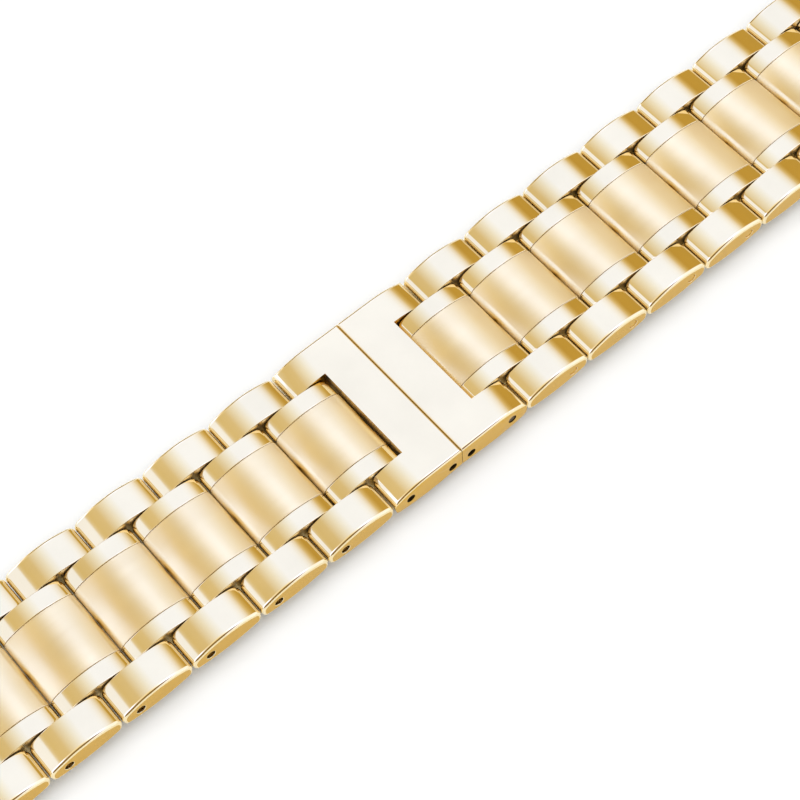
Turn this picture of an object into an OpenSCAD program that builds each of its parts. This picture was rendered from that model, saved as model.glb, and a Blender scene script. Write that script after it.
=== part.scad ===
// Steel watch bracelet with three rows of links and a hidden folding clasp.
// X runs along the bracelet, Y across it and Z up. The origin lies under the
// seam of the closed clasp, on the surface that the clasp base rests on.

/* [Band] */
// Width over the outer links, which is the lug width of the watch
band_w = 20; // [18:0.5:24]
// Width of the centre row of links
mid_w = 12.1; // [11.7:0.1:12.7]
// Side clearance between the centre row and the outer links
row_gap = 0.1; // [0.05:0.05:0.2]
// Length of one link together with its gap
pitch = 8.5; // [8.3:0.1:9.5]
// Gap between the ends of neighbouring links
link_gap = 0.25; // [0.2:0.05:0.4]
// Rows of outer links on each side of the clasp
rows = 7; // [4:1:7]

/* [Links] */
// Thickness of a link at its crown
link_h = 3.15; // [3.1:0.05:3.6]
// How far the arched top falls from the crown to the ends of a link
top_drop = 0.95; // [0.7:0.05:1.1]
// How far the arched underside rises from the middle to the ends
sole_rise = 0.5; // [0.3:0.05:0.6]
// Rounding of the upper end edges of a link
nose_r = 1; // [0.5:0.05:1.1]
// Rounding of the lower end edges of a link
toe_r = 0.7; // [0.3:0.05:0.9]
// Rounding of the upright corners beside the centre row
corner_r = 0.6; // [0.3:0.1:1]
// Rounding of the long upper edges at the outside of the band
edge_r = 0.35; // [0.1:0.05:0.5]
// Width of the brushed core of a centre link
core_w = 7.85; // [6:0.05:9]
// Joint between the core and the polished cheeks beside it
hairline = 0.03; // [0.02:0.01:0.06]
// How far the core stands out beyond the cheeks at each end
core_over = 0.05; // [0.02:0.01:0.06]

/* [Pins] */
// Diameter of the link pins and hinge pins
pin_d = 1; // [0.8:0.05:1.1]
// Height of the link pins above the lowest line of the links
pin_z = 1.4; // [1.3:0.05:1.5]
// Radial clearance where a pin sits still
pin_seat = 0.01; // [0.005:0.005:0.02]
// Radial clearance where a piece turns on a pin
pin_play = 0.05; // [0.03:0.01:0.07]
// How far a pin lies inside its open end, where the hole shows dark
deep_end = 0.6; // [0.3:0.1:1]
// How far a pin lies inside its other end, where it nearly fills the hole
flush_end = 0.08; // [0.05:0.01:0.2]
// Wall outside the blind pin holes
blind_wall = 0.7; // [0.5:0.1:1.2]
// Bevel at the ends of the pins
pin_bevel = 0.1; // [0.05:0.01:0.15]

/* [Clasp covers] */
// Length of a cover, from the seam to the middle of the first gap
cover_len = 8.95; // [8.9:0.05:9.6]
// Length of the full-width bridge of a cover, from the seam to the notch
bridge_len = 4.65; // [4.4:0.05:4.7]
// Gap between the two covers at the seam
seam_gap = 0.06; // [0.04:0.02:0.12]
// Bevel along the seam
seam_bevel = 0.18; // [0.1:0.01:0.3]
// How far the underside of a cover rises towards the seam
seam_rise = 0.35; // [0.2:0.05:0.45]
// Thickness of the skin over the hinge pocket
skin_t = 0.65; // [0.5:0.05:0.75]
// Distance of the cover hinge from the seam
swivel_x = 1.25; // [1.2:0.05:1.4]
// Height of the cover hinge above the lowest line of the links
swivel_z = 1.1; // [1.05:0.05:1.2]

/* [Folding clasp] */
// Distance of the base hinges from the seam
axle_x = 14.5; // [13.8:0.1:15.5]
// Width of the base plate
base_w = 10.6; // [9:0.1:11.5]
// Thickness of the base plate
base_t = 0.9; // [0.8:0.05:1.1]
// Width of the wings
wing_w = 10; // [8:0.1:11]
// Thickness of the wings
wing_t = 0.9; // [0.7:0.05:1]
// Clearance between the base plate, the wings and the links
leaf_gap = 0.1; // [0.08:0.01:0.2]
// Radius of the knuckles
knuckle_r = 0.95; // [0.9:0.01:1]
// Width of the middle knuckle of the base hinges
tongue_w = 4.8; // [3:0.1:6]
// Side clearance between knuckles and in the pocket of a cover
knuckle_gap = 0.15; // [0.08:0.01:0.3]
// Length of the catch block across the seam
catch_l = 1.6; // [1.2:0.1:2]
// Width of the catch block
catch_w = 3; // [2:0.1:4]
// Radius of the thumb openings in the base plate and the wings
window_r = 1.7; // [1:0.1:2.2]
// Distance between the end centres of a window
window_l = 3.2; // [1:0.1:3.6]

/* [Case ends] */
// Length of the full-width block of an end link
end_len = 6.4; // [5.5:0.1:8]
// Distance of the spring bar from the end of the bracelet
bar_in = 1.5; // [1.45:0.05:2]
// Height of the spring bar above the lowest line of the links
bar_z = 1.45; // [1.4:0.05:1.6]
// Diameter of the spring bar's tube
bar_d = 1.5; // [1.3:0.05:1.6]
// Wall of the spring bar's tube
bar_wall = 0.25; // [0.2:0.05:0.3]
// Radial clearance of the spring bar in the end link
bar_play = 0.05; // [0.03:0.01:0.08]
// Diameter of the tips that enter the lugs
tip_d = 0.8; // [0.6:0.05:0.9]
// How far the tips stand out beyond the bracelet
tip_out = 1.2; // [1:0.1:1.4]
// How far a tip can be pushed in
tip_travel = 1.3; // [1.2:0.05:1.4]
// Length of the flange that keeps a tip in the end link
flange_l = 0.6; // [0.55:0.05:0.8]
// Length of the rolled ends of the tube and of the heads behind them
crimp_l = 0.5; // [0.3:0.05:0.7]

/* [Hidden] */
RIGHT = 1;
LEFT = -1;
$fn = 64;
fine = 360;
eps = 0.01;
cross = 0.002;

polished = [0.93, 0.78, 0.47];
brushed = [0.88, 0.75, 0.50];
bare = [0.72, 0.72, 0.73];

half_w = band_w / 2;
outer_y = mid_w / 2 + row_gap;
link_len = pitch - link_gap;
core_len = link_len + core_over;
cheek_len = link_len - core_over;
pin_r = pin_d / 2;
pin_off = pitch / 4;
end_r = link_len / 2 - pin_off;
seat_r = pin_r + pin_seat;
play_r = pin_r + pin_play;

// Radius of an arc with a given chord and rise
function arc_r(chord, rise) = (chord * chord / 4 + rise * rise) / (2 * rise);
crown_r = arc_r(link_len, top_drop);
sole_r = arc_r(link_len, sole_rise);

// Places along the bracelet, counted outwards from the seam
function gap_x(k) = cover_len + (k - 1) * pitch;
function outer_x(k) = gap_x(k) + pitch / 2;
bow_x = cover_len - link_gap / 2 - link_len / 2;
block_x = gap_x(rows + 1) + link_gap / 2;
bar_x = block_x + end_len - bar_in;

// Heights of the folding clasp below the links
axle_z = base_t + leaf_gap;
wing_z = axle_z;
link_z = wing_z + wing_t + leaf_gap + 0.05;
base_r = axle_z;
pocket_x = swivel_x + knuckle_r + knuckle_gap;
pocket_w = wing_w + 2 * knuckle_gap;
hinge_clear = base_r + knuckle_gap;

// Draws one half of the bracelet on its own side of the seam
module half(side) {
    mirror([side == LEFT ? 1 : 0, 0, 0]) children();
}

// Raises a piece of the link chain to its height
module chain(x) {
    translate([x, 0, link_z]) children();
}

// Extrudes a side view across the bracelet, from y0 to y1
module across(y0, y1) {
    translate([0, y1, 0]) rotate([90, 0, 0]) linear_extrude(y1 - y0) children();
}

// A round hole or rod across the bracelet
module rod(r, y0, y1) {
    across(y0, y1) circle(r);
}

// A pin with bevelled ends
module pin(r, y0, y1) {
    rotate([-90, 0, 0]) rotate_extrude() polygon([
        [0, y0], [r - pin_bevel, y0], [r, y0 + pin_bevel],
        [r, y1 - pin_bevel], [r - pin_bevel, y1], [0, y1]
    ]);
}

// Point at distance ra from a and rb from b, on the left of the way from a to b
function meet(a, ra, b, rb) =
    let (
        d = norm(b - a),
        along = (b - a) / d,
        reach = (ra ^ 2 - rb ^ 2 + d ^ 2) / (2 * d)
    )
    a + reach * along + sqrt(ra ^ 2 - reach ^ 2) * [-along.y, along.x];

// What a rounding of radius r takes off where an arc of radius ra round a meets
// an arc of radius rb round b. The rounding is a hair wider than its place, so
// it crosses both faces cleanly
module edge_waste(a, ra, b, rb, r) {
    centre = meet(a, ra - r, b, rb - r);
    from_a = 3 * r * (centre - a) / (ra - r);
    from_b = 3 * r * (centre - b) / (rb - r);
    difference() {
        polygon([centre, centre + from_a, centre + from_a + from_b, centre + from_b]);
        translate(centre) circle(r + cross);
    }
}

// Side view of a link: a lens whose ends are round about the pins, so that the
// gap between links stays the same while they turn, with rounded end edges
module link_side(len, top_r = crown_r, under_r = sole_r) {
    end_x = len / 2 - end_r;
    crown = [0, link_h - top_r];
    sole = [0, under_r];
    hub = [end_x, pin_z];
    difference() {
        intersection() {
            union() {
                translate([-end_x, -1]) square([2 * end_x, link_h + 2]);
                for (m = [0, 1]) mirror([m, 0]) translate(hub) circle(end_r, $fn = fine);
            }
            translate(crown) circle(top_r, $fn = fine);
            translate(sole) circle(under_r, $fn = fine);
        }
        for (m = [0, 1]) mirror([m, 0]) {
            edge_waste(hub, end_r, crown, top_r, nose_r);
            edge_waste(sole, under_r, hub, end_r, toe_r);
        }
    }
}

// What the rounding of an upright corner at [x, y] takes off; dir is the way
// along Y in which the corner points
module corner_waste(x, y, dir) {
    translate([x - corner_r, y - dir * corner_r, -1]) mirror([0, dir < 0 ? 1 : 0, 0])
        linear_extrude(link_h + 2) difference() {
            square(2 * corner_r);
            circle(corner_r + cross);
        }
}

// Section of what the rounding of the long outer edge takes off, with the edge
// at the origin
module outer_edge_section() {
    translate([-edge_r, -edge_r]) difference() {
        square(2 * edge_r);
        circle(edge_r + cross);
    }
}

// What that rounding takes off along an arched top of radius top_r, far side
module arched_edge_waste(top_r = crown_r) {
    translate([0, 0, link_h - top_r]) rotate([-90, 0, 0])
        rotate_extrude($fn = fine) translate([top_r, half_w]) outer_edge_section();
}

// What it takes off along a flat top, from x0 to x1
module flat_edge_waste(x0, x1) {
    translate([x0, half_w, link_h]) rotate([90, 0, 90])
        linear_extrude(x1 - x0) outer_edge_section();
}

// One outer link beside the centre row, on the far side
module outer_link() {
    difference() {
        across(outer_y, half_w) link_side(link_len);
        arched_edge_waste();
        for (m = [0, 1]) mirror([m, 0, 0]) corner_waste(link_len / 2, outer_y, -1);
        translate([pin_off, 0, pin_z]) rod(seat_r, outer_y - 1, half_w + 1);
        translate([-pin_off, 0, pin_z]) rod(seat_r, outer_y - 1, half_w - blind_wall);
    }
}

module outer_links(k, side) {
    color(polished) half(side) chain(outer_x(k)) {
        outer_link();
        mirror([0, 1, 0]) outer_link();
    }
}

// Both pin holes of a centre link
module centre_holes() {
    for (s = [-1, 1]) translate([s * pin_off, 0, pin_z]) rod(play_r, -half_w, half_w);
}

module core() {
    difference() {
        across(-core_w / 2, core_w / 2) link_side(core_len);
        centre_holes();
    }
}

// One polished cheek beside the core, on the far side
module cheek() {
    difference() {
        across(core_w / 2 + hairline, mid_w / 2) link_side(cheek_len);
        for (m = [0, 1]) mirror([m, 0, 0]) corner_waste(cheek_len / 2, mid_w / 2, 1);
        centre_holes();
    }
}

module centre_link(k, side) {
    half(side) chain(gap_x(k)) {
        color(brushed) core();
        color(polished) cheek();
        color(polished) mirror([0, 1, 0]) cheek();
    }
}

// A link pin: deep inside its near end on the left half of the bracelet, and
// inside its far end on the right half, because the halves are made alike
module open_pin(side) {
    near = side == LEFT ? deep_end : flush_end;
    far = side == LEFT ? flush_end : deep_end;
    pin(pin_r, -half_w + near, half_w - far);
}

module link_pins(k, side) {
    color(polished) half(side) chain(outer_x(k)) {
        translate([pin_off, 0, pin_z]) open_pin(side);
        translate([-pin_off, 0, pin_z]) pin(pin_r, -half_w + blind_wall + eps, half_w - blind_wall - eps);
    }
}

// Side view of a clasp cover: half a link beyond bow_x, a flat bridge before it
module cover_side() {
    seam_x = seam_gap / 2;
    bridge_sole_r = arc_r(2 * bow_x, seam_rise);
    intersection() {
        translate([bow_x, 0]) link_side(link_len);
        translate([bow_x, -1]) square([link_len, link_h + 2]);
    }
    intersection() {
        polygon([
            [seam_x, 0], [bow_x, 0], [bow_x, link_h],
            [seam_x + seam_bevel, link_h], [seam_x, link_h - seam_bevel]
        ]);
        translate([bow_x, bridge_sole_r]) circle(bridge_sole_r, $fn = fine);
    }
}

module clasp_cover(side) {
    color(polished) half(side) chain(0) difference() {
        across(-half_w, half_w) cover_side();
        translate([bridge_len, -outer_y, -1]) cube([cover_len, 2 * outer_y, link_h + 2]);
        translate([-1, -pocket_w / 2, -1]) cube([pocket_x + 1, pocket_w, link_h - skin_t + 1]);
        for (m = [0, 1]) mirror([0, m, 0]) {
            corner_waste(bow_x + link_len / 2, outer_y, -1);
            flat_edge_waste(-1, bow_x);
            intersection() {
                translate([bow_x, 0, 0]) arched_edge_waste();
                translate([bow_x, 0, 0]) cube([link_len, band_w, link_h + 2]);
            }
        }
        translate([swivel_x, 0, swivel_z]) rod(seat_r, -half_w - 1, half_w + 1);
        translate([cover_len - pin_off, 0, pin_z]) rod(seat_r, -half_w - 1, half_w + 1);
    }
}

module cover_pins(side) {
    color(polished) half(side) chain(0) {
        translate([swivel_x, 0, swivel_z]) pin(pin_r, -half_w + deep_end, half_w - deep_end);
        translate([cover_len - pin_off, 0, pin_z]) open_pin(side);
    }
}

// A long opening with round ends, through a plate
module window(x) {
    translate([x, 0, -1]) linear_extrude(base_t + wing_t + 3) {
        for (s = [-1, 1]) translate([s * window_l / 2, 0]) circle(window_r);
        square([window_l, 2 * window_r], center = true);
    }
}
window_x = (pocket_x + axle_x - hinge_clear) / 2;

module clasp_base() {
    barrel_x = axle_x - base_r - knuckle_gap;
    color(polished) difference() {
        union() {
            translate([-barrel_x, -base_w / 2, 0]) cube([2 * barrel_x, base_w, base_t]);
            for (s = [-1, 1]) {
                translate([s * axle_x, 0, axle_z]) rod(base_r, -tongue_w / 2, tongue_w / 2);
            }
            translate([-axle_x, -tongue_w / 2, 0]) cube([2 * axle_x, tongue_w, base_t]);
            translate([-catch_l / 2, -catch_w / 2, base_t - eps])
                cube([catch_l, catch_w, wing_t + leaf_gap - leaf_gap / 2 + eps]);
        }
        for (s = [-1, 1]) translate([s * axle_x, 0, axle_z]) rod(seat_r, -base_w, base_w);
        for (s = [-1, 1]) window(s * window_x);
    }
}

module base_hinge_pins() {
    color(bare) for (s = [-1, 1]) translate([s * axle_x, 0, axle_z]) pin(pin_r, -wing_w / 2, wing_w / 2);
}

module clasp_wing(side) {
    tip_x = swivel_x - knuckle_r;
    color(polished) half(side) difference() {
        union() {
            translate([tip_x, -wing_w / 2, wing_z]) cube([axle_x - tip_x, wing_w, wing_t]);
            translate([axle_x, 0, axle_z]) rod(knuckle_r, -wing_w / 2, wing_w / 2);
            translate([tip_x, -wing_w / 2, wing_z])
                cube([2 * knuckle_r, wing_w, link_z + swivel_z - wing_z]);
            translate([swivel_x, 0, link_z + swivel_z]) rod(knuckle_r, -wing_w / 2, wing_w / 2);
        }
        translate([axle_x - hinge_clear, -tongue_w / 2 - knuckle_gap, -1])
            cube([2 * hinge_clear, tongue_w + 2 * knuckle_gap, wing_z + wing_t + 2]);
        translate([0, -catch_w / 2 - knuckle_gap, 0])
            cube([catch_l / 2 + knuckle_gap, catch_w + 2 * knuckle_gap, wing_z + wing_t]);
        translate([axle_x, 0, axle_z]) rod(play_r, -base_w, base_w);
        translate([swivel_x, 0, link_z + swivel_z]) rod(play_r, -base_w, base_w);
        window(window_x);
    }
}

// Side view of the full-width block of an end link
module block_side() {
    link_side(end_len, arc_r(end_len, top_drop), arc_r(end_len, sole_rise));
}

module end_link(side) {
    color(polished) half(side) translate([0, 0, link_z]) difference() {
        union() {
            translate([block_x + end_len / 2, 0, 0]) across(-half_w, half_w) block_side();
            translate([gap_x(rows + 1), 0, 0]) across(-mid_w / 2, mid_w / 2) link_side(core_len);
        }
        for (m = [0, 1]) mirror([0, m, 0]) translate([block_x + end_len / 2, 0, 0])
            arched_edge_waste(arc_r(end_len, top_drop));
        translate([gap_x(rows + 1) - pin_off, 0, pin_z]) rod(play_r, -half_w, half_w);
        translate([bar_x, 0, bar_z]) rod(bar_d / 2 + bar_play, -half_w - 1, half_w + 1);
    }
}

// Places along the spring bar, counted from its middle
flange_y = half_w - flange_l;
tube_y = flange_y - tip_travel - pin_play;
crimp_y = tube_y - crimp_l;
head_y = crimp_y - pin_play;

// Radii of the spring bar, from its bore inwards
bore_r = bar_d / 2 - bar_wall;
head_r = bore_r - pin_play;
crimp_r = bore_r - 1.6 * pin_play;
shank_r = crimp_r - pin_play;
flange_r = bar_d / 2 - 2 * pin_play;
tip_r = tip_d / 2;

module spring_bar(side) {
    color(bare) half(side) chain(bar_x) translate([0, 0, bar_z]) rotate([-90, 0, 0]) rotate_extrude()
        polygon([
            [bore_r, -crimp_y], [crimp_r, -crimp_y], [crimp_r, -tube_y], [bar_d / 2, -tube_y],
            [bar_d / 2, tube_y], [crimp_r, tube_y], [crimp_r, crimp_y], [bore_r, crimp_y]
        ]);
}

// One tip: a head inside the tube, a shank, a flange and the end in the lug
module bar_tip(side, dir) {
    tip_y = half_w + tip_out;
    color(bare) half(side) chain(bar_x) translate([0, 0, bar_z]) mirror([0, dir < 0 ? 1 : 0, 0])
        rotate([-90, 0, 0]) rotate_extrude() polygon([
            [0, head_y - crimp_l], [head_r, head_y - crimp_l], [head_r, head_y],
            [shank_r, head_y], [shank_r, flange_y], [flange_r, flange_y],
            [flange_r, half_w], [tip_r, half_w], [tip_r, tip_y - pin_bevel],
            [tip_r - pin_bevel, tip_y], [0, tip_y]
        ]);
}

clasp_base();
base_hinge_pins();
clasp_wing(RIGHT);  // clasp_wing_right
clasp_wing(LEFT);  // clasp_wing_left
clasp_cover(RIGHT);  // clasp_cover_right
clasp_cover(LEFT);  // clasp_cover_left
cover_pins(RIGHT);  // cover_pins_right
cover_pins(LEFT);  // cover_pins_left
for (k = [1:rows]) {
    centre_link(k, RIGHT);
    centre_link(k, LEFT);
    outer_links(k, RIGHT);
    outer_links(k, LEFT);
    link_pins(k, RIGHT);
    link_pins(k, LEFT);
}
end_link(RIGHT);  // end_link_right
end_link(LEFT);  // end_link_left
spring_bar(RIGHT);  // spring_bar_right
spring_bar(LEFT);  // spring_bar_left
bar_tip(RIGHT, -1);  // bar_tip_right_near
bar_tip(RIGHT, 1);  // bar_tip_right_far
bar_tip(LEFT, -1);  // bar_tip_left_near
bar_tip(LEFT, 1);  // bar_tip_left_far
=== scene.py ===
"""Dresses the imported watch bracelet: rounded polished and brushed links, clasp covers and a pale studio.
New surfaces are worked out in millimetres, and their meshes are in metres."""

import math
from types import SimpleNamespace

import bpy
import numpy as np
from bpy.props import FloatProperty, FloatVectorProperty, PointerProperty
from mathutils import Matrix, Vector
from mathutils.geometry import delaunay_2d_cdt


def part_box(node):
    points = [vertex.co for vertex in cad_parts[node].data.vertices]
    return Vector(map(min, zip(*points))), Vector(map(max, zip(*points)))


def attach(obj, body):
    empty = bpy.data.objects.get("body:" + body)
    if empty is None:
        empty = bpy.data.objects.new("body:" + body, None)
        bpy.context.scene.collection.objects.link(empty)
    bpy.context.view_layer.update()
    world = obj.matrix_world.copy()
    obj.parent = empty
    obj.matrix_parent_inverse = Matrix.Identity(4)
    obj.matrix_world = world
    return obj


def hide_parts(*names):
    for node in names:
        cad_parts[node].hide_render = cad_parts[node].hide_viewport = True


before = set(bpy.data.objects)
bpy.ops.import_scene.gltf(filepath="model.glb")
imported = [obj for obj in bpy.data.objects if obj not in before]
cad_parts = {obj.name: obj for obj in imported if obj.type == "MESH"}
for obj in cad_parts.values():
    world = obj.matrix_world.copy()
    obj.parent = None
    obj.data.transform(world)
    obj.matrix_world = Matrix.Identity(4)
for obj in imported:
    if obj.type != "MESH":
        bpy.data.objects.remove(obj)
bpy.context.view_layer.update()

bl_info = {
    "name": "Watch bracelet",
    "version": (1, 0, 0),
    "blender": (4, 5, 0),
    "location": "View3D > Sidebar > Bracelet",
    "description": "Rounded links, clasp covers and finishes of a gold-toned watch bracelet",
    "category": "Object",
}

# The frame
MM = 0.001
SIDES = {"right": 1, "left": -1}
ROWS = sum(name.startswith("outer_links_right_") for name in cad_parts)

# How finely the shapes are divided; the arcs are the crown, the nose, the end, the toe and the underside
ARC_STEPS = (14, 7, 5, 3, 6)
EDGE_ROWS = 6
CORNER_ROWS = 8
RIM_ROWS = 4
HOLE_STEPS = 32
TENT_POINTS = 65

# Points that agree to this many digits of a millimetre are welded; what follows counts as nothing
WELD_DIGITS = 4
JOIN_WITHIN = 1e-7
LEAST_AREA = 1e-9
LEAST_LENGTH = 1e-12

# The second material of the outer links, on their flat outer sides: a satin gold whose deeper colour is
# painted shade
SHADED_SATIN_SIDE = 1

# Modifiers of the clasp and the end links: weld distance in metres, segments and sharpest angle of the bevel
CLASP_WELD = 1e-6
CLASP_SEGMENTS = 3
CLASP_SHARP = math.radians(35)
CLASP_WEIGHT = 100

# The camera, fitted to the photograph: its place, lens and sensor in millimetres, its reach in metres
CAMERA_PLACE = (-61.26, -84.92, 189.58)
CAMERA_FORWARD = (0.28574, 0.39542, -0.87292)
CAMERA_UP = (0.58145, 0.65253, 0.48592)
CAMERA_LENS = 92.94
CAMERA_SENSOR = 36.0
CAMERA_REACH = (0.005, 60.0)

# The key lamp, the light from all round and what the floor adds
LAMP_FROM = (-0.1, -0.15, 0.97)
LAMP_SPREAD = math.radians(60)
LAMP_TONE = (1.0, 0.98, 0.95)
SKY_TONE = (0.85, 0.92, 1.0)
GLOW_TONE = (0.7, 0.85, 1.0)

# Glow of the light tent by angle in degrees, from +X over the top to -X, in linear red, green and blue. The
# strip is what the polished tops mirror; the panels on both sides of it are most of what the cores gather.
STRIP = (
    (0, (0.55, 0.38, 0.10)), (28, (0.58, 0.39, 0.09)), (33, (0.57, 0.38, 0.09)),
    (37, (0.67, 0.50, 0.20)), (40, (0.78, 0.66, 0.43)), (43, (0.91, 0.90, 1.00)),
    (47, (1.01, 1.11, 1.57)), (52, (1.05, 1.22, 1.92)), (57, (1.05, 1.24, 2.02)),
    (78, (1.05, 1.24, 2.02)), (85, (1.00, 1.13, 1.62)), (92, (0.93, 0.97, 1.14)),
    (98, (0.85, 0.82, 0.80)), (104, (0.775, 0.67, 0.465)), (115, (0.755, 0.635, 0.385)),
    (119, (0.81, 0.74, 0.60)), (121, (1.03, 1.16, 1.70)), (160, (1.03, 1.16, 1.73)),
    (180, (0.94, 1.02, 1.33)),
)
PANELS = (
    (0, (1.16, 1.20, 1.23)), (30, (1.19, 1.24, 1.51)), (45, (1.18, 1.22, 1.55)),
    (52, (1.21, 1.31, 1.80)), (58, (1.34, 1.51, 2.45)), (63, (1.65, 1.99, 3.53)),
    (69, (1.65, 1.99, 3.53)), (75, (1.61, 1.78, 2.81)), (80, (1.34, 1.43, 1.87)),
    (85, (1.16, 1.13, 1.19)), (92, (1.05, 0.94, 0.71)), (104, (1.03, 0.91, 0.71)),
    (112, (1.07, 1.04, 1.08)), (118, (1.38, 1.62, 2.74)), (125, (1.43, 1.66, 2.88)),
    (180, (1.25, 1.45, 2.16)),
)
# Where the strip lies and how it gives way to the panels, as Y over the tent's radius
STRIP_PLACE = 0.42
STRIP_FADE = (0.12, 0.3)
# The strip's ramp is shifted by up to this part of a half turn either way, along this span of Y over radius
SKEW = 5 / 180
SKEW_SPAN = (0.35, 0.55)
# Two dim patches of the tent: from no dimming to full dimming in Y over radius, and in half turns from +X
FLAG_TONE = (0.27, 0.17, 0.04)
NEAR_FLAG = ((-0.35, -0.65), (0.28, 0.36))
FAR_FLAG = ((0.9, 1.4), (0.6, 0.5))
# The tent's colours are divided by its strength, so that the stops of a ramp stay below one
TENT_STRENGTH = 5.0

# Noise of the metals: how many features lie in a metre along X, Y and Z, and how deep the grain is in metres
CLOUDS = (170, 170, 170)
CLOUD_SHADE = 0.06
CLOUD_DETAIL = 3.0
GRAIN_DETAIL = 2.0
NOISE_SPAN = (0.3, 0.7)
RUB_SPAN = (0.35, 0.85)
POLISHED = {"spread": 0.015, "grain": (2600, 900, 2600), "depth": 2.0e-7}
SATIN = {"spread": 0.05, "grain": (9000, 9000, 9000), "depth": 6.0e-7}
BRUSHED = {"spread": 0.03, "grain": (200, 11000, 200), "depth": 6.0e-7, "clouds": (60, 350, 60),
           "shade": 0.02, "brushed": 0.95}
TURNED = {"spread": 0.08, "grain": (700, 9000, 700), "depth": 1.0e-6}
# A face counts as upright as its normal nears the level: not at the first share, wholly at the second
UPRIGHT_SPAN = (0.9, 0.98)

# Sockets of a Mix node that blends colours
MIX_FACTOR, MIX_FIRST, MIX_SECOND, MIX_RESULT = 0, 6, 7, 2


# Sizes and colours

def length(label, millimetres, text):
    """A length property; the default is given in millimetres."""
    return FloatProperty(name=label, description=text, default=millimetres * MM, min=0.0,
                         precision=5, unit="LENGTH")


def colour(label, rgb, text):
    """A colour property with linear values."""
    return FloatVectorProperty(name=label, description=text, default=rgb, size=3, min=0.0, max=1.0,
                               subtype="COLOR")


def share(label, value, text):
    """A plain number between nothing and one."""
    return FloatProperty(name=label, description=text, default=value, min=0.0, max=1.0, subtype="FACTOR")


class LinkSizes(bpy.types.PropertyGroup):
    """Side view of a link and the small roundings of its edges."""
    link_length: length("Link length", 8.41, "Length of an outer link")
    core_length: length("Core length", 8.41, "Length of the brushed core of a centre link")
    cheek_length: length("Cheek length", 8.39, "Length of the polished cheeks of a centre link")
    chord: length("Arch chord", 8.25, "Length over which the arched top and underside rise")
    height: length("Height", 3.15, "Thickness of a link at its crown")
    top_drop: length("Top drop", 0.95, "How far the arched top falls towards the ends")
    sole_rise: length("Sole rise", 0.5, "How far the arched underside rises towards the ends")
    nose: length("Nose rounding", 1.0, "Rounding of the upper end edges")
    toe: length("Toe rounding", 0.7, "Rounding of the lower end edges")
    end_radius: length("End radius", 2.08, "Radius of the ends, which are round about the pins")
    corner: length("Corner rounding", 0.42, "Rounding of the upright corners beside the centre row")
    outer_edge: length("Outer edge", 0.35, "Rounding of the long edges at the outside of the band")
    inner_edge: length("Inner edge", 0.08, "Rounding of the long edges beside the centre row")
    core_edge: length("Core edge", 0.08, "Rounding of the long edges where core and cheek meet")
    half_width: length("Half width", 10.0, "From the middle of the band to its outside")
    outer_start: length("Outer link start", 6.15, "From the middle of the band to the outer links")
    mid_half: length("Centre row half width", 6.05, "From the middle of the band to the side of the cheeks")
    core_half: length("Core half width", 3.925, "From the middle of the band to the side of the core")
    hairline: length("Hairline", 0.03, "Joint between the core and the cheeks")
    pin_place: length("Pin place", 2.125, "From the middle of a link to its pins")
    pin_height: length("Pin height", 1.4, "Height of the pins above the underside")
    seat: length("Pin seat", 0.51, "Radius of the pin holes in outer links")
    turning: length("Turning hole", 0.55, "Radius of the pin holes in centre links")
    blind_wall: length("Blind wall", 0.7, "Wall outside the blind pin holes")
    rim: length("Hole rim", 0.05, "Rounding of the rims of the pin holes in outer links")


class CoverSizes(bpy.types.PropertyGroup):
    """Edges and pin holes of the two clasp covers. Places count from the seam, heights from the floor."""
    edge: length("Edge", 0.05, "Rounding of the edges of the clasp and the end links")
    hinge_place: length("Hinge place", 1.25, "From the seam to the hinge pin")
    hinge_height: length("Hinge height", 3.15, "Height of the hinge pin")
    link_place: length("Link pin place", 6.825, "From the seam to the pin of the first centre link")
    link_height: length("Link pin height", 3.45, "Height of that pin")
    # The clasp's pin holes are painted with shade: dark within this radius, the dark ending over the fade
    # width
    hole: length("Hole", 0.515, "Radius within which a pin hole is dark")
    fade: length("Hole fade", 0.01, "Width over which that dark ends")


class Finishes(bpy.types.PropertyGroup):
    """Colours and polish of the metals. The deeper side gold and the near-black hole gold are painted shade.
    """
    polished: colour("Polished gold", (0.93, 0.76, 0.43), "Polished gold of the tops")
    worn: colour("Worn gold", (0.95, 0.83, 0.57), "Paler gold of edges that rub")
    # Painted shade: the flat sides get a deeper, darker gold than the tops, standing in for the shadowed
    # floor they mirror; their satin roughness is a finish of their own
    satin: colour("Satin gold", (0.66, 0.39, 0.045), "Deeper gold of the satin sides")
    brushed: colour("Brushed gold", (0.93, 0.736, 0.375), "Brushed gold of the cores")
    # Painted shade: a near-black gold for the walls of pin holes and for pins that sit deep in them, where
    # shade falls
    painted_hole_shade: colour("Recess gold", (0.08, 0.05, 0.015), "Dull gold deep in the pin holes")
    steel: colour("Bare steel", (0.55, 0.54, 0.52), "Bare steel of the spring bars and the base plate's pins")
    polish: share("Polish", 0.06, "Roughness of the polished gold")
    satin_polish: share("Satin", 0.3, "Roughness of the satin sides")
    grain: share("Grain", 0.35, "Roughness of the brushed cores")
    recess_polish: share("Recess", 0.4, "Roughness deep in the pin holes")
    steel_polish: share("Steel polish", 0.3, "Roughness of the bare steel")


class Studio(bpy.types.PropertyGroup):
    """Floor, light tent and lamps."""
    tent_radius: FloatProperty(name="Tent radius", description="Radius of the light tent over the bracelet",
                               default=2.0, unit="LENGTH")
    tent_half: FloatProperty(name="Tent half length", description="Half the length of the tent and the floor",
                             default=12.0, unit="LENGTH")
    floor: share("Floor", 0.9, "Whiteness of the floor")
    glow: share("Floor glow", 0.03, "What the floor adds for the camera so that it is white")
    sky: share("Sky", 0.5, "Soft light from all round")
    sun: FloatProperty(name="Key lamp", description="Strength of the key lamp", default=2.25)


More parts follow.
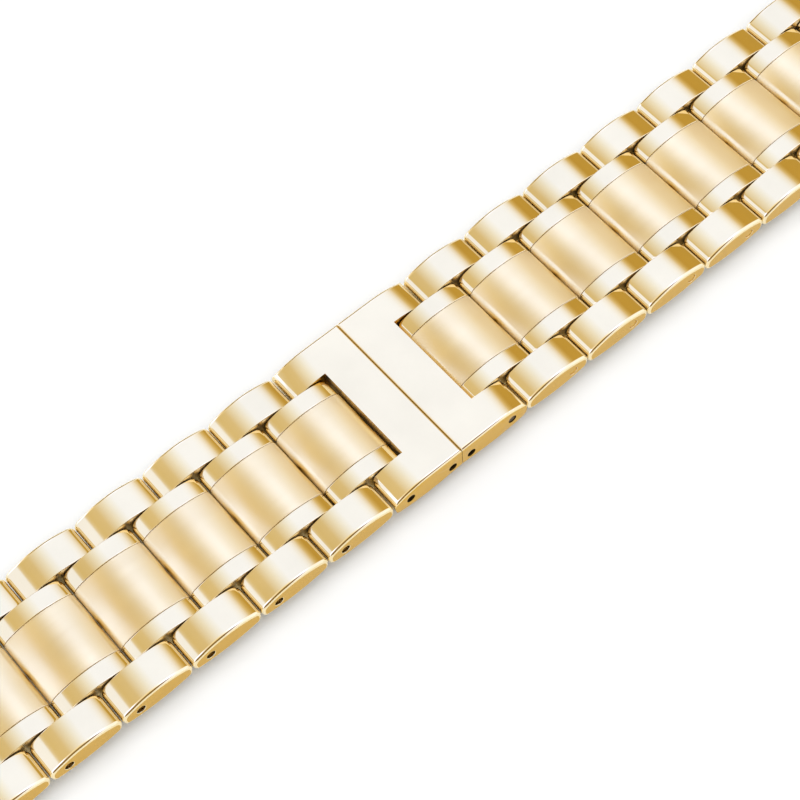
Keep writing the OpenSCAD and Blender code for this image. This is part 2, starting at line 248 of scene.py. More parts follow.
def millimetres(group):
    """All lengths of a property group in millimetres."""
    return SimpleNamespace(**{name: getattr(group, name) / MM for name in group.__annotations__})


# Shapes

def arc_radius(chord, rise):
    """Radius of an arc with a given chord and rise: (chord squared / 4 + rise squared) / (2 rise)."""
    return (chord * chord / 4 + rise * rise) / (2 * rise)


def lens(sizes, long):
    """What the side view of a link of a given length is made of."""
    return SimpleNamespace(half=long / 2, height=sizes.height, nose=sizes.nose, toe=sizes.toe,
                           end=sizes.end_radius, hub=sizes.pin_height,
                           crown=arc_radius(sizes.chord, sizes.top_drop),
                           sole=arc_radius(sizes.chord, sizes.sole_rise))


def meet(a, ra, b, rb):
    """The point at distance ra from a and rb from b, on the left of the way from a to b."""
    away = b - a
    d = np.linalg.norm(away, axis=-1, keepdims=True)
    reach = (ra ** 2 - rb ** 2 + d ** 2) / (2 * d)
    along = away / d
    return a + reach * along + np.sqrt(ra ** 2 - reach ** 2) * np.stack([-along[..., 1], along[..., 0]], -1)


def bearing(centre, origin):
    """Angle from straight up of the way from an origin to a centre, as a column."""
    away = centre - origin
    return np.arctan2(away[:, 0], away[:, 1])[:, None]


def half_ring(form, inset, edge):
    """Half of a link's side view, from the top of the crown round the nose, the end and the toe to the
    underside. Each point is an arc's centre plus (radius - edge) times the direction at angle a, where a
    runs from 0, straight up, to half a turn. The end is round about a hub as high as the pins, which is
    moved in by inset; the nose and toe are the circles that touch both arcs beside them. Returns x, z and a,
    one row for each section."""
    hub = np.stack(np.broadcast_arrays(form.half - form.end - inset[:, 0], form.hub), -1)
    crown = np.array([0.0, form.height - form.crown])
    sole = np.array([0.0, form.sole])
    nose = meet(hub, form.end - form.nose, crown, form.crown - form.nose)
    toe = meet(sole, form.sole - form.toe, hub, form.end - form.toe)
    bends = [bearing(nose, crown), bearing(nose, hub), bearing(toe, hub), bearing(toe, sole)]
    stops = [np.zeros_like(inset), *bends, np.full_like(inset, np.pi)]
    centres = (crown, nose, hub, toe, sole)
    radii = (form.crown, form.nose, form.end, form.toe, form.sole)
    x, z, a = [], [], []
    for n, (centre, radius, count) in enumerate(zip(centres, radii, ARC_STEPS)):
        t = np.linspace(0, 1, count + 1)[1 if n else 0:]
        angle = stops[n] + (stops[n + 1] - stops[n]) * t
        a.append(angle)
        x.append(centre[..., :1] + (radius - edge) * np.sin(angle))
        z.append(centre[..., 1:] + (radius - edge) * np.cos(angle))
    return np.concatenate(x, 1), np.concatenate(z, 1), np.concatenate(a, 1)


def side_rows(s, corner, edge):
    """Depth, plan inset and edge inset of a section at parameter s, from 0 at the flat side to 2.
    Up to 1 the edge rounding turns through a quarter, depth = edge (1 - cos t) and inset = edge (1 - sin t);
    from 1 to 2 the upright corner goes on, depth = corner (1 - cos q) and inset = corner (1 - sin q)."""
    t = np.minimum(s, 1) * np.pi / 2
    depth, shrink = edge * (1 - np.cos(t)), edge * (1 - np.sin(t))
    if corner == 0:
        return depth, np.zeros_like(s), shrink
    q = np.arccos(1 - np.clip(depth, 0, None) / corner) * np.where(s < 0, -1, 1)
    q = np.where(s > 1, q + (s - 1) * (np.pi / 2 - q), q)
    return corner * (1 - np.cos(q)), corner * (1 - np.sin(q)), shrink


def unit(v):
    """Each vector divided by its length."""
    return v / np.maximum(np.linalg.norm(v, axis=-1, keepdims=True), LEAST_LENGTH)


class Shell:
    """Patches of a closed surface. Each patch has its own points and normals; making the mesh welds them."""

    def __init__(self):
        self.patches = []

    def add(self, points, normals, faces, worn=0.0, finish=0):
        """A patch with the number of its material. One normal or one wear may stand for all its points."""
        points = points.reshape(-1, 3)
        normals = normals.reshape(-1, 3) if np.ndim(normals) > 1 else np.broadcast_to(normals, points.shape)
        self.patches.append((points, normals, faces, np.broadcast_to(worn, len(points)), finish))

    def grid(self, points, normals, worn=0.0, flip=False, loop=True):
        """A patch of rows by columns, with a face between each point and its next in both directions; with
        loop its columns close on themselves."""
        rows, cols = points.shape[:2]
        i, j = np.meshgrid(np.arange(rows - 1), np.arange(cols if loop else cols - 1), indexing="ij")
        k = (j + 1) % cols
        quads = np.stack([i * cols + j, i * cols + k, (i + 1) * cols + k, (i + 1) * cols + j], -1)
        quads = quads.reshape(-1, 4)
        worn = np.ravel(worn) if np.ndim(worn) else worn
        self.add(points, normals, quads[:, ::-1] if flip else quads, worn)

    def placed(self, sx=1, sy=1, offset=(0, 0, 0)):
        """A copy mirrored by the signs sx and sy and moved."""
        sign, other = np.array([sx, sy, 1.0]), Shell()
        for points, normals, faces, worn, finish in self.patches:
            turned = faces[:, ::-1] if sx * sy < 0 else faces
            other.patches.append((points * sign + offset, normals * sign, turned, worn, finish))
        return other

    def __add__(self, more):
        both = Shell()
        both.patches = self.patches + more.patches
        return both

    def mesh(self, name, exact=True):
        """Welds points that lie together and makes the Blender mesh. With exact its normals are the
        patches' own."""
        starts = np.cumsum([0] + [len(patch[0]) for patch in self.patches])
        points = np.concatenate([patch[0] for patch in self.patches])
        rounded = np.round(points, WELD_DIGITS)
        _, first, weld = np.unique(rounded, axis=0, return_index=True, return_inverse=True)
        weld = weld.ravel()
        worn = np.concatenate([patch[3] for patch in self.patches])[first]
        corners, counts, normals, finishes = [], [], [], []
        for (_, patch_normals, faces, _, finish), start in zip(self.patches, starts):
            corners.append(weld[faces + start].ravel())
            counts.append(np.full(len(faces), faces.shape[1]))
            normals.append(patch_normals[faces.ravel()])
            finishes.append(np.full(len(faces), finish))
        corners, counts = np.concatenate(corners), np.concatenate(counts)
        loop_starts = np.concatenate([[0], np.cumsum(counts)[:-1]])
        mesh = bpy.data.meshes.new(name)
        mesh.vertices.add(len(first))
        mesh.vertices.foreach_set("co", (points[first] * MM).astype(np.float32).ravel())
        mesh.loops.add(len(corners))
        mesh.loops.foreach_set("vertex_index", corners.astype(np.int32))
        mesh.polygons.add(len(counts))
        mesh.polygons.foreach_set("loop_start", loop_starts.astype(np.int32))
        mesh.polygons.foreach_set("material_index", np.concatenate(finishes).astype(np.int32))
        mesh.update(calc_edges=True)
        if mesh.validate(verbose=False):
            raise RuntimeError(f"the mesh {name} had faulty faces")
        mesh.shade_smooth()
        attribute = mesh.attributes.new("worn", "FLOAT", "POINT")
        attribute.data.foreach_set("value", worn.astype(np.float32))
        if exact:
            mesh.normals_split_custom_set(np.concatenate(normals).tolist())
        return mesh


def circle_angles():
    """Angles of the points round a hole, from straight up."""
    return np.linspace(0, 2 * np.pi, HOLE_STEPS, endpoint=False)


def cap(shell, outline, y, facing, holes, finish=0):
    """A flat side at y with round holes, as triangles between the outline and the rims. A triangle whose
    middle is nearer to the middle of a hole than its radius is left out."""
    turn = circle_angles()
    rings = [outline]
    for cx, cz, radius in holes:
        rings.append(np.stack([cx + radius * np.sin(turn), cz + radius * np.cos(turn)], 1))
    edges, count = [], 0
    for ring in rings:
        number = np.arange(len(ring)) + count
        edges.append(np.stack([number, np.roll(number, -1)], 1))
        count += len(ring)
    points = [Vector(point) for point in np.concatenate(rings).tolist()]
    made = delaunay_2d_cdt(points, np.concatenate(edges).tolist(), [], 1, JOIN_WITHIN)
    flat, faces = np.array([tuple(point) for point in made[0]]), np.array(made[2])
    middle = flat[faces].mean(1)
    keep = np.ones(len(faces), bool)
    for cx, cz, radius in holes:
        keep &= np.hypot(middle[:, 0] - cx, middle[:, 1] - cz) > radius
    a, b, c = (flat[faces[:, n]] for n in range(3))
    area = (b[:, 0] - a[:, 0]) * (c[:, 1] - a[:, 1]) - (b[:, 1] - a[:, 1]) * (c[:, 0] - a[:, 0])
    keep &= np.abs(area) > LEAST_AREA
    faces = np.where((area > 0)[:, None] == (facing < 0), faces, faces[:, ::-1])[keep]
    solid = np.stack([flat[:, 0], np.full(len(flat), y), flat[:, 1]], 1)
    shell.add(solid, np.array([0.0, facing, 0.0]), faces, finish=finish)


def rim_rows(y, inward, radius, rim):
    """Depth, radius and lean of the circles at one end of a bore. At a rounded rim the depth goes through
    rim (1 - cos t) and the radius is widened by rim (1 - sin t); a plain end is one circle."""
    if not rim:
        return np.array([[y], [radius], [0.0]])
    t = np.linspace(0, np.pi / 2, RIM_ROWS)
    return np.array([y + inward * rim * (1 - np.cos(t)), radius + rim * (1 - np.sin(t)), -inward * np.cos(t)])


def bore(shell, cx, cz, radius, near, far, near_rim=0.0, far_rim=0.0, closed=False):
    """The wall of a round hole from y = near to y = far: circles about (cx, cz) whose radius and depth are
    those of rim_rows. A closed hole has a flat end at y = far."""
    ends = (rim_rows(near, 1, radius, near_rim), rim_rows(far, -1, radius, far_rim)[:, ::-1])
    depth, wide, lean = np.concatenate(ends, 1)[..., None]
    turn = circle_angles()
    points = np.stack(np.broadcast_arrays(cx + wide * np.sin(turn), depth, cz + wide * np.cos(turn)), -1)
    inward = np.sqrt(1 - lean ** 2)
    normals = np.stack(np.broadcast_arrays(-inward * np.sin(turn), lean, -inward * np.cos(turn)), -1)
    shell.grid(points, normals, flip=True)
    if closed:
        ring = np.stack([cx + radius * np.sin(turn), np.full(len(turn), far), cz + radius * np.cos(turn)], 1)
        number = np.arange(len(turn))
        fan = np.stack([np.full(len(turn), len(turn)), np.roll(number, -1), number], 1)
        shell.add(np.concatenate([ring, [[cx, far, cz]]]), np.array([0.0, -1.0, 0.0]), fan)


def swept_link(form, y0, y1, corners, edges):
    """The skin of a link between two flat sides: the side view is carried from y0 to y1 and drawn in by the
    plan inset and the edge inset of side_rows. A normal is the ring's tangent crossed with the step between
    sections. Returns the shell and the outlines of both flat sides."""
    nudge = 1e-3
    back = np.array([-1.0, 1.0, 1.0])
    ends, outlines = [], []
    for end, (corner, edge) in enumerate(zip(corners, edges)):
        side, inward = (y1, -1) if end else (y0, 1)
        s = np.linspace(0, 1, EDGE_ROWS)
        if corner:
            s = np.concatenate([s, np.linspace(1, 2, CORNER_ROWS)[1:]])
        samples = []
        for value in (s, s - nudge, s + nudge):
            depth, inset, shrink = (v[:, None] for v in side_rows(value, corner, edge))
            x, z, a = half_ring(form, inset, shrink)
            samples.append(np.stack(np.broadcast_arrays(x, side + inward * depth, z), -1))
        tangent = np.stack([np.cos(a), np.zeros_like(a), -np.sin(a)], -1)
        # the step just past the last section is level, so the straight part stays straight
        step = samples[2] - samples[1]
        if not corner:
            step[-1] = (0, inward, 0)
        normals = unit(np.cross(tangent, inward * step))
        worn = np.broadcast_to(np.clip(1 - np.abs(s * 2 - 1), 0, 1)[:, None], x.shape)
        rows = (samples[0], normals, worn)
        ends.append([part[::-1] for part in rows] if end else rows)
        outlines.append(samples[0][0])
    points, normals, worn = (np.concatenate(parts) for parts in zip(*ends))
    points = np.concatenate([points, points[:, -2:0:-1] * back], 1)
    normals = np.concatenate([normals, normals[:, -2:0:-1] * back], 1)
    worn = np.concatenate([worn, worn[:, -2:0:-1]], 1)
    shell = Shell()
    shell.grid(points, normals, worn)
    rings = [np.concatenate([half, half[-2:0:-1] * back])[:, [0, 2]] for half in outlines]
    return shell, rings


def outer_link(sizes):
    """The far outer link of a right-hand row, its middle at x = 0: one pin hole goes right through, the
    other starts at the inner side and is blind."""
    y0, y1 = sizes.outer_start, sizes.half_width
    x, z, wide = sizes.pin_place, sizes.pin_height, sizes.seat + sizes.rim
    shell, rings = swept_link(lens(sizes, sizes.link_length), y0, y1, (sizes.corner, 0),
                              (sizes.inner_edge, sizes.outer_edge))
    cap(shell, rings[0], y0, -1, [(x, z, wide), (-x, z, wide)])
    # The flat outer side takes the satin gold, whose deeper colour is painted shade
    cap(shell, rings[1], y1, 1, [(x, z, wide)], finish=SHADED_SATIN_SIDE)
    bore(shell, x, z, sizes.seat, y0, y1, sizes.rim, sizes.rim)
    bore(shell, -x, z, sizes.seat, y0, y1 - sizes.blind_wall, sizes.rim, closed=True)
    return shell


def centre_part(sizes, long, y0, y1, corners, edges):
    """A part of a centre link from y0 to y1, its middle at x = 0, with both pin holes right through."""
    shell, rings = swept_link(lens(sizes, long), y0, y1, corners, edges)
    holes = [(s * sizes.pin_place, sizes.pin_height, sizes.turning) for s in (-1, 1)]
    cap(shell, rings[0], y0, -1, holes)
    cap(shell, rings[1], y1, 1, holes)
    for x, z, radius in holes:
        bore(shell, x, z, radius, y0, y1)
    return shell


def centre_core(sizes):
    """The brushed core of a centre link."""
    return centre_part(sizes, sizes.core_length, -sizes.core_half, sizes.core_half, (0, 0),
                       (sizes.core_edge, sizes.core_edge))


def centre_cheek(sizes):
    """The far polished cheek of a centre link."""
    return centre_part(sizes, sizes.cheek_length, sizes.core_half + sizes.hairline, sizes.mid_half,
                       (0, sizes.corner), (sizes.core_edge, sizes.inner_edge))


# Materials

def opaque(tone):
    """A colour with full alpha."""
    return tuple(tone) + (1,)


def add(tree, kind, inputs=None, **settings):
    """A node with its settings; an input that is a socket is linked, any other is set."""
    node = tree.nodes.new(kind)
    for name, value in settings.items():
        setattr(node, name, value)
    for name, value in (inputs or {}).items():
        if isinstance(value, bpy.types.NodeSocket):
            tree.links.new(value, node.inputs[name])
        else:
            node.inputs[name].default_value = value
    return node


def maths(tree, operation, *values):
    """The result of a Math node."""
    return add(tree, "ShaderNodeMath", dict(enumerate(values)), operation=operation).outputs[0]


def axes(tree, kind):
    """The three parts of a Texture Coordinate output, Object or Normal."""
    place = add(tree, "ShaderNodeTexCoord").outputs[kind]
    return add(tree, "ShaderNodeSeparateXYZ", {0: place}).outputs


def stretched_noise(tree, stretch, detail):
    """Noise on Object coordinates; stretch is how many features lie in a metre along X, Y and Z."""
    place = add(tree, "ShaderNodeTexCoord").outputs["Object"]
    moved = add(tree, "ShaderNodeMapping", {"Vector": place, "Scale": stretch}).outputs[0]
    return add(tree, "ShaderNodeTexNoise", {"Vector": moved, "Scale": 1.0, "Detail": detail}).outputs["Fac"]


def ranged(tree, value, low, high, span=NOISE_SPAN):
    """Low where the value is at the span's first number, high at its second, even between, level beyond."""
    limits = {"From Min": span[0], "From Max": span[1], "To Min": low, "To Max": high}
    return add(tree, "ShaderNodeMapRange", {"Value": value, **limits}).outputs[0]


def blend(tree, factor, first, second):
    """The first colour where the factor is nothing, the second where it is one."""
    inputs = {MIX_FACTOR: factor, MIX_FIRST: first, MIX_SECOND: second}
    return add(tree, "ShaderNodeMix", inputs, data_type="RGBA").outputs[MIX_RESULT]


def hole_shade_mask(tree, holes):
    """Mask of painted shade in the pin holes: one inside round holes along Y, nothing elsewhere. The holes
    are (x, z, radius, fade) in metres and lie the same on both sides of the seam."""
    here = axes(tree, "Object")
    aside = maths(tree, "ABSOLUTE", here["X"])
    place = add(tree, "ShaderNodeCombineXYZ", {"X": aside, "Z": here["Z"]}).outputs[0]
    inside = 0.0
    for x, z, radius, fade in holes:
        away = add(tree, "ShaderNodeVectorMath", {0: place, 1: (x, 0.0, z)}, operation="DISTANCE")
        mask = ranged(tree, away.outputs["Value"], 1.0, 0.0, (radius, radius + fade))
        inside = maths(tree, "MAXIMUM", mask, inside)
    return inside


def upright_faces(tree):
    """Two masks: one on faces that look across the band, which carries the clasp's painted side shade, and
    one on all upright faces.
    """
    normal = axes(tree, "Normal")
    along, across = (maths(tree, "ABSOLUTE", normal[name]) for name in "XY")
    either = maths(tree, "MAXIMUM", along, across)
    return [ranged(tree, part, 0.0, 1.0, UPRIGHT_SPAN) for part in (across, either)]


def metal(name, tone, rubbed, rough, spread, grain, depth, clouds=CLOUDS, shade=CLOUD_SHADE, brushed=0.0,
          sides=None, painted_hole_shade=None):
    """A metal: clouds of slightly other colour and polish, a fine grain of scratches, paler where edges rub.
    Sides, a colour and a roughness, gives faces that look across the band that colour and all upright faces
    that roughness; on the clasp that colour is painted shade. The painted hole shade, a colour, a roughness
    and holes, gives the walls of the holes that colour as painted shade, and adds that roughness to theirs."""
    material = bpy.data.materials.new(name)
    material.use_nodes = True
    tree = material.node_tree
    shader = tree.nodes["Principled BSDF"]
    shader.inputs["Metallic"].default_value = 1.0
    if brushed:
        shader.inputs["Anisotropic"].default_value = brushed
        tangent = add(tree, "ShaderNodeTangent", direction_type="RADIAL", axis="X")
        tree.links.new(tangent.outputs[0], shader.inputs["Tangent"])
    cloudy = stretched_noise(tree, clouds, CLOUD_DETAIL)
    fine = stretched_noise(tree, grain, GRAIN_DETAIL)
    dim = opaque(c * (1 - shade) for c in tone)
    body = blend(tree, ranged(tree, cloudy, 0.0, 1.0), dim, opaque(tone))
    worn = add(tree, "ShaderNodeAttribute", attribute_name="worn", attribute_type="GEOMETRY").outputs["Fac"]
    rub = maths(tree, "MULTIPLY", worn, ranged(tree, cloudy, *RUB_SPAN))
    body = blend(tree, rub, body, opaque(rubbed))
    hazy = ranged(tree, cloudy, rough - spread, rough + spread)
    polish = maths(tree, "ADD", hazy, ranged(tree, fine, -spread, spread))
    if sides:
        side_tone, side_rough = sides
        across, upright = upright_faces(tree)
        # On the clasp the side colour is painted shade, a deeper gold on faces that look across the band
        body = blend(tree, across, body, opaque(side_tone))
        polish = maths(tree, "MULTIPLY_ADD", upright, side_rough - rough, polish)
    if painted_hole_shade:
        hole_shade_tone, recess_rough, holes = painted_hole_shade
        inside = hole_shade_mask(tree, holes)
        # Painted shade: the walls of the pin holes take the dark colour
        body = blend(tree, inside, body, opaque(hole_shade_tone))
        polish = maths(tree, "MULTIPLY_ADD", inside, recess_rough, polish)
    tree.links.new(body, shader.inputs["Base Color"])
    tree.links.new(polish, shader.inputs["Roughness"])
    bump = add(tree, "ShaderNodeBump", {"Height": fine, "Strength": 1.0, "Distance": depth})
    tree.links.new(bump.outputs[0], shader.inputs["Normal"])


def mirror_gold(look):
    """Polished gold of the links, satin in polish on upright faces."""
    metal("mirror_gold", look.polished, look.worn, look.polish, **POLISHED,
          sides=(look.polished, look.satin_polish))


def clasp_gold(look, covers):
    """Polished gold of the clasp and the end links, with satin sides in a deeper gold that is painted shade
    and with painted shade in the pin holes.
    """
    places = ((covers.hinge_place, covers.hinge_height), (covers.link_place, covers.link_height))
    holes = [(x, z, covers.hole, covers.fade) for x, z in places]
    metal("clasp_gold", look.polished, look.worn, look.polish, **POLISHED,
          sides=(look.satin, look.satin_polish), painted_hole_shade=(look.painted_hole_shade, look.recess_polish, holes))


def satin_gold_painted_shade(look):
    """Satin gold of the outer links' flat sides and of the link pins on the right; its deep colour is painted
    shade, darker than the tops as the sides mirror the shadowed floor.
    """
    metal("satin_gold_painted_shade", look.satin, look.worn, look.satin_polish, **SATIN)


def grained_gold(look):
    """Brushed gold of the cores, which scatters light across the band."""
    metal("grained_gold", look.brushed, look.worn, look.grain, **BRUSHED)


def pin_gold_painted_shade(look):
    """Near-black gold of the covers' pins and of the link pins on the left, painted shade for pins that sit
    deep in their holes.
    """
    metal("pin_gold_painted_shade", look.painted_hole_shade, look.painted_hole_shade, look.recess_polish, **SATIN)


def turned_steel(look):
    """Bare turned steel of the base plate's hinge pins and of the spring bars."""
    metal("turned_steel", look.steel, look.steel, look.steel_polish, **TURNED)


def make_metals(scene):
    """All metals, made once."""
    if "mirror_gold" not in bpy.data.materials:
        mirror_gold(scene.finishes)
        clasp_gold(scene.finishes, scene.cover_sizes)
        satin_gold_painted_shade(scene.finishes)
        grained_gold(scene.finishes)
        pin_gold_painted_shade(scene.finishes)
        turned_steel(scene.finishes)
    return bpy.data.materials


def cleared_tree(owner):
    """The node tree of a material or a world, with nothing in it."""
    owner.use_nodes = True
    owner.node_tree.nodes.clear()
    return owner.node_tree


def seen_rays(tree):
    """One for rays of the camera, of reflections and through glass, nothing for soft light."""
    path = add(tree, "ShaderNodeLightPath").outputs
    seen = maths(tree, "MAXIMUM", path["Is Camera Ray"], path["Is Glossy Ray"])
    return maths(tree, "MAXIMUM", seen, path["Is Transmission Ray"])


# Operators

def put(name, data):
    """A new object in the scene, at the origin."""
    made = bpy.data.objects.new(name, data)
    bpy.context.scene.collection.objects.link(made)
    return made


def finish_piece(name, mesh, materials, node, body):
    """Puts a mesh in the scene at the origin, riding on its body in place of its CAD node."""
    for material in materials:
        mesh.materials.append(material)
    piece = put(name, mesh)
    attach(piece, body)
    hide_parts(node)


def give(node, material):
    """Gives a CAD node one material."""
    node.data.materials.clear()
    node.data.materials.append(material)


def place_of(node):
    """Middle along the band and lowest height of a CAD node, in millimetres."""
    low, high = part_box(node)
    return ((low.x + high.x) / 2 / MM, 0.0, low.z / MM)


def each_row():
    """Name and sign of the side, and number, of every row of links."""
    return [(side, sign, k) for side, sign in SIDES.items() for k in range(1, ROWS + 1)]


class BRACELET_OT_outer_links(bpy.types.Operator):
    """Makes the polished outer links, a far and a near one in each row"""
    bl_idname = "bracelet.outer_links"
    bl_label = "Outer links"

    def execute(self, context):
        metals = make_metals(context.scene)
        link = outer_link(millimetres(context.scene.link_sizes))
        pair = link + link.placed(sy=-1)
        # The second gold, on the flat outer sides, is satin with painted shade
        golds = [metals["mirror_gold"], metals["satin_gold_painted_shade"]]
        for side, sign, k in each_row():
            node = f"outer_links_{side}_{k}"
            mesh = pair.placed(sign, sign, place_of(node)).mesh(node)
            name, body = f"polished_links_{side}_{k}", f"outer_{side}_{k}"
            finish_piece(name, mesh, golds, node, body)
        return {"FINISHED"}


class BRACELET_OT_centre_links(bpy.types.Operator):
    """Makes the centre links, each a brushed core between two polished cheeks"""
    bl_idname = "bracelet.centre_links"
    bl_label = "Centre links"

    def execute(self, context):
        metals = make_metals(context.scene)
        sizes = millimetres(context.scene.link_sizes)
        core, cheek = centre_core(sizes), centre_cheek(sizes)
        cheeks = cheek + cheek.placed(sy=-1)
        kinds = (("brushed_core", "core", core, "grained_gold", "brushed_gold"),
                 ("polished_cheeks", "cheeks", cheeks, "mirror_gold", "polished_gold"))
        for side, sign, k in each_row():
            node, body = f"centre_link_{side}_{k}", f"centre_{side}_{k}"
            for piece, part, shell, gold, slot in kinds:
                mesh = shell.placed(sign, sign, place_of(node)).mesh(f"{part}_{side}_{k}")
                finish_piece(f"{piece}_{side}_{k}", mesh, [metals[gold]], node, body)
        return {"FINISHED"}


class BRACELET_OT_clasp(bpy.types.Operator):
    """Finishes the folding clasp and the end links in polished gold, with painted shade on their sides and in
    their pin holes
    """
    bl_idname = "bracelet.clasp"
    bl_label = "Folding clasp"

    def execute(self, context):
        metals = make_metals(context.scene)
        for name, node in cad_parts.items():
            if name.startswith(("clasp_", "end_link_")):
                give(node, metals["clasp_gold"])
                self.round_edges(node, context.scene.cover_sizes.edge)
        return {"FINISHED"}

    def round_edges(self, node, width):
        """Rounds the sharp edges of a CAD node, whose loose triangles are welded first."""
        weld = node.modifiers.new("weld", "WELD")
        weld.merge_threshold = CLASP_WELD
        bevel = node.modifiers.new("edges", "BEVEL")
        bevel.width = width
        bevel.segments = CLASP_SEGMENTS
        bevel.limit_method = "ANGLE"
        bevel.angle_limit = CLASP_SHARP
        bevel.harden_normals = False
        even = node.modifiers.new("even", "WEIGHTED_NORMAL")
        even.weight = CLASP_WEIGHT


# Metal of each pin by the start of its node's name. The pins deep in holes take a near-black gold and the
# right link pins the deeper side gold, both painted shade.
PIN_METALS = {"link_pins_right": "satin_gold_painted_shade", "link_pins_left": "pin_gold_painted_shade", "cover_pins": "pin_gold_painted_shade",
              "base_hinge_pins": "turned_steel", "spring_bar": "turned_steel", "bar_tip": "turned_steel"}


class BRACELET_OT_pins(bpy.types.Operator):
    """Finishes the pins in gold, near-black or deep gold as painted shade, and the spring bars and the hinge
    pins of the base plate in bare steel
    """
    bl_idname = "bracelet.pins"
    bl_label = "Pins and spring bars"

    def execute(self, context):
        metals = make_metals(context.scene)
        for name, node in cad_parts.items():
            for start, metal_name in PIN_METALS.items():
                if name.startswith(start):
                    give(node, metals[metal_name])
        return {"FINISHED"}


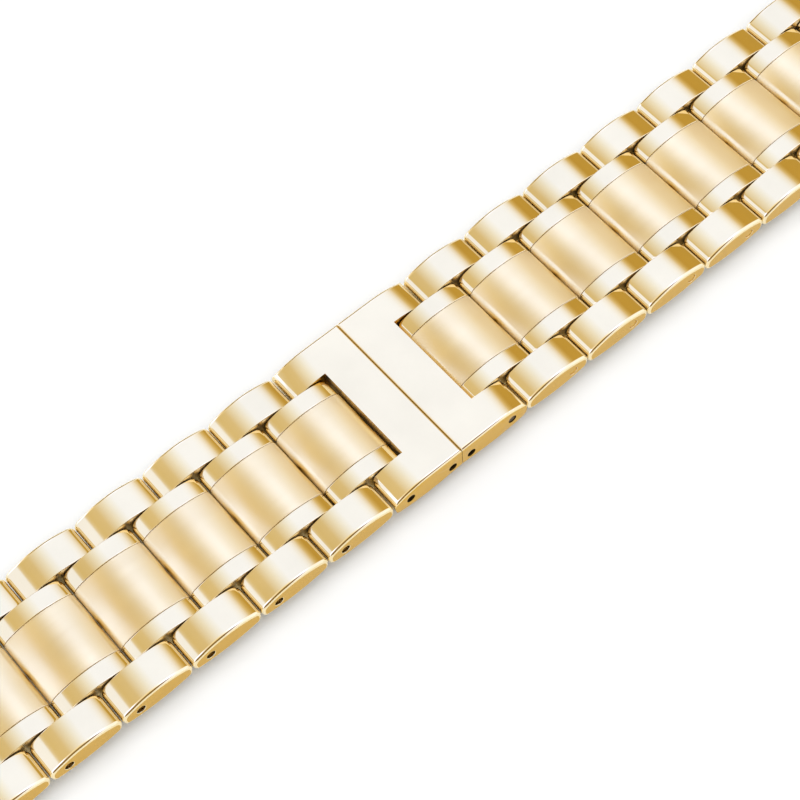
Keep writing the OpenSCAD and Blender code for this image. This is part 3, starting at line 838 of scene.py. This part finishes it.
class BRACELET_OT_studio(bpy.types.Operator):
    """Makes the floor, the light tent, the key lamp, the world and the camera"""
    bl_idname = "bracelet.studio"
    bl_label = "Studio"

    def execute(self, context):
        scene, studio = context.scene, context.scene.studio
        self.camera(scene)
        self.floor(studio)
        self.tent(studio)
        self.lamp(studio)
        self.world(scene, studio)
        scene.view_settings.view_transform = "Standard"
        return {"FINISHED"}

    def camera(self, scene):
        """The photograph's viewpoint."""
        data = bpy.data.cameras.new("camera")
        data.lens, data.sensor_width = CAMERA_LENS, CAMERA_SENSOR
        data.clip_start, data.clip_end = CAMERA_REACH
        camera = put("camera", data)
        forward = Vector(CAMERA_FORWARD).normalized()
        right = forward.cross(Vector(CAMERA_UP)).normalized()
        turn = Matrix((right, right.cross(forward), -forward)).transposed()
        camera.matrix_world = Matrix.Translation(Vector(CAMERA_PLACE) * MM) @ turn.to_4x4()
        scene.camera = camera

    def floor(self, studio):
        """A pale square, which glows a little for the camera, reflections and glass alone."""
        corners = np.array([[-1, -1, 0], [1, -1, 0], [1, 1, 0], [-1, 1, 0]]) * studio.tent_half
        mesh = bpy.data.meshes.new("floor")
        mesh.from_pydata(corners.tolist(), [], [(0, 1, 2, 3)])
        material = bpy.data.materials.new("pale_floor")
        tree = cleared_tree(material)
        glow = maths(tree, "MULTIPLY", seen_rays(tree), studio.glow)
        matt = add(tree, "ShaderNodeBsdfDiffuse", {"Color": opaque([studio.floor] * 3)})
        light = add(tree, "ShaderNodeEmission", {"Color": opaque(GLOW_TONE), "Strength": glow})
        both = add(tree, "ShaderNodeAddShader", {0: matt.outputs[0], 1: light.outputs[0]})
        add(tree, "ShaderNodeOutputMaterial", {"Surface": both.outputs[0]})
        mesh.materials.append(material)
        floor = put("floor", mesh)

    def tent(self, studio):
        """Half a tube over the bracelet, seen by reflections alone: x = radius cos a, z = radius sin a,
        carried along Y. Its glow depends on the angle a and on Y over the radius, both read from Object
        coordinates: the strip's ramp near one place along Y, the panels' ramp beyond, and two dim patches."""
        a = np.linspace(0, np.pi, TENT_POINTS)
        y = np.array([-1.0, 1.0])[:, None] * studio.tent_half
        x, z = studio.tent_radius * np.cos(a), studio.tent_radius * np.sin(a)
        points = np.stack(np.broadcast_arrays(x, y, z), -1)
        shell = Shell()
        shell.grid(points / MM, np.array([0.0, 0.0, -1.0]), loop=False)
        mesh = shell.mesh("light_tent", exact=False)
        material = bpy.data.materials.new("light_tent")
        tree = cleared_tree(material)
        here = axes(tree, "Object")
        turn = maths(tree, "DIVIDE", maths(tree, "ARCTAN2", here["Z"], here["X"]), math.pi)
        along = maths(tree, "DIVIDE", here["Y"], studio.tent_radius)
        skewed = maths(tree, "ADD", turn, ranged(tree, along, -SKEW, SKEW, SKEW_SPAN))
        strip, panels = self.ramp(tree, skewed, STRIP), self.ramp(tree, turn, PANELS)
        away = maths(tree, "ABSOLUTE", maths(tree, "SUBTRACT", along, STRIP_PLACE))
        shade = blend(tree, ranged(tree, away, 0.0, 1.0, STRIP_FADE), strip, panels)
        near, far = (self.flag(tree, along, turn, spans) for spans in (NEAR_FLAG, FAR_FLAG))
        dim = opaque(c / TENT_STRENGTH for c in FLAG_TONE)
        shade = blend(tree, maths(tree, "MAXIMUM", near, far), shade, dim)
        light = add(tree, "ShaderNodeEmission", {"Color": shade, "Strength": TENT_STRENGTH})
        add(tree, "ShaderNodeOutputMaterial", {"Surface": light.outputs[0]})
        mesh.materials.append(material)
        tent = put("light_tent", mesh)
        tent.visible_camera = tent.visible_diffuse = tent.visible_shadow = tent.visible_transmission = False

    def flag(self, tree, along, turn, spans):
        """A dim patch of the tent: the product of a slope along Y and a slope over the angle."""
        slopes = [ranged(tree, value, 0.0, 1.0, span) for value, span in zip((along, turn), spans)]
        return maths(tree, "MULTIPLY", *slopes)

    def ramp(self, tree, turn, tones):
        """Colours over the angle, blended between the stops."""
        node = add(tree, "ShaderNodeValToRGB", {"Fac": turn})
        stops = node.color_ramp.elements
        while len(stops) < len(tones):
            stops.new(0.5)
        # placing a stop may sort them anew, so all are placed before any is coloured
        for stop, (degrees, _) in zip(stops, tones):
            stop.position = degrees / 180
        for stop, (_, tone) in zip(stops, tones):
            stop.color = opaque(c / TENT_STRENGTH for c in tone)
        return node.outputs[0]

    def lamp(self, studio):
        """A broad key lamp from above, which reflections don't show."""
        data = bpy.data.lights.new("key_lamp", "SUN")
        data.energy, data.angle, data.color = studio.sun, LAMP_SPREAD, LAMP_TONE
        lamp = put("key_lamp", data)
        lamp.rotation_euler = Vector(LAMP_FROM).to_track_quat("Z", "Y").to_euler()
        lamp.visible_glossy = False

    def world(self, scene, studio):
        """Soft light from all round, and white for the camera, reflections and glass."""
        world = bpy.data.worlds.new("studio")
        scene.world = world
        tree = cleared_tree(world)
        soft = add(tree, "ShaderNodeBackground", {"Color": opaque(SKY_TONE), "Strength": studio.sky})
        white = add(tree, "ShaderNodeBackground", {"Color": (1, 1, 1, 1), "Strength": 1.0})
        both = add(tree, "ShaderNodeMixShader", {0: seen_rays(tree), 1: soft.outputs[0], 2: white.outputs[0]})
        add(tree, "ShaderNodeOutputWorld", {"Surface": both.outputs[0]})


class BRACELET_PT_panel(bpy.types.Panel):
    """Sizes, finishes and steps of the bracelet"""
    bl_idname = "BRACELET_PT_panel"
    bl_label = "Watch bracelet"
    bl_space_type = "VIEW_3D"
    bl_region_type = "UI"
    bl_category = "Bracelet"

    def draw(self, context):
        for operator in STEPS:
            self.layout.operator(operator.bl_idname)
        for name in GROUPS:
            group = getattr(context.scene, name)
            box = self.layout.box()
            for size in group.__annotations__:
                box.prop(group, size)


STEPS = (BRACELET_OT_studio, BRACELET_OT_outer_links, BRACELET_OT_centre_links, BRACELET_OT_clasp,
         BRACELET_OT_pins)
GROUPS = {"link_sizes": LinkSizes, "cover_sizes": CoverSizes, "finishes": Finishes, "studio": Studio}


def register():
    """Registers the classes and gives the scene its sizes."""
    for item in (*GROUPS.values(), *STEPS, BRACELET_PT_panel):
        bpy.utils.register_class(item)
    for name, group in GROUPS.items():
        setattr(bpy.types.Scene, name, PointerProperty(type=group))


def unregister():
    """Takes the sizes and the classes away again."""
    for name in GROUPS:
        delattr(bpy.types.Scene, name)
    for item in (BRACELET_PT_panel, *reversed(STEPS), *reversed(GROUPS.values())):
        bpy.utils.unregister_class(item)


def main():
    """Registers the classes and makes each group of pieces."""
    register()
    for step in STEPS:
        group, name = step.bl_idname.split(".")
        getattr(getattr(bpy.ops, group), name)()


if __name__ == "__main__":
    main()
